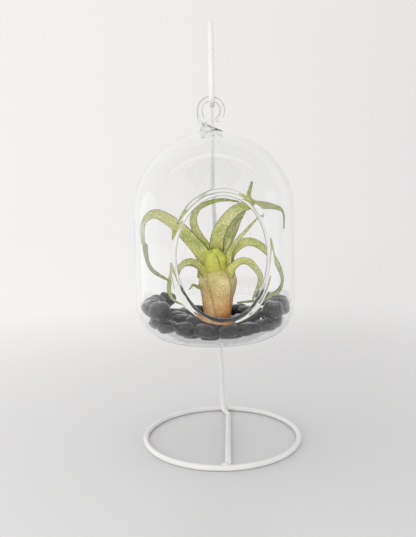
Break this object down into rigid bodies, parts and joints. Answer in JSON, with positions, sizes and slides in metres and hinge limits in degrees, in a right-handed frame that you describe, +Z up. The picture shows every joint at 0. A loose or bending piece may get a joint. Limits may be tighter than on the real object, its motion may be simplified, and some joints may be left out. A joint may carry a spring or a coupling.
{
  "type": "hanging glass air plant holder",
  "caption": "Clear glass globe with an oval mouth, black pebbles and an air plant, hanging by its glass loop from a white wire stand.",
  "frame": {"origin": "on the table, at the middle of the base ring", "axes": "+Z up; -Y is the side that the globe's mouth faces; the upright of the stand is at +Y; +X to the right seen from the mouth's side"},
  "size_m": [0.0999, 0.1055, 0.259],
  "materials": {
    "coated_wire": "gloss powder coat",
    "clear_glass": "clear, fire polished",
    "black_stone": "polished",
    "leaf": "satin, finely mottled",
    "bulb": "satin"
  },
  "bodies": {
    "stand": {"base_ring": "coated_wire", "stand_wire": "coated_wire", "weld_bead_back": "coated_wire", "weld_bead_front": "coated_wire"},
    "hanging_globe": {"glass_globe": "clear_glass", "glass_loop": "clear_glass", "pebbles_bottom_layer": "black_stone", "pebbles_top_layer": "black_stone", "pebbles_side_heaps": "black_stone", "plant_bulb": "bulb", "plant_crown": "leaf", "leaf_centre": "leaf", "leaf_left_arch": "leaf", "leaf_right_arch": "leaf", "leaf_over_arch": "leaf", "leaf_spike": "leaf", "leaf_inner": "leaf", "leaf_folded_tip": "leaf", "leaf_low_left": "leaf", "leaf_low_right": "leaf", "leaf_resting_left": "leaf", "leaf_stub": "leaf"}
  },
  "joints": [
    {"name": "swing", "type": "hinge", "parent": "stand", "child": "hanging_globe", "pos_m": [-0.0028, -0.008, 0.20445], "axis": [0, 1, 0], "range_deg": [-45, 45]}
  ]
}
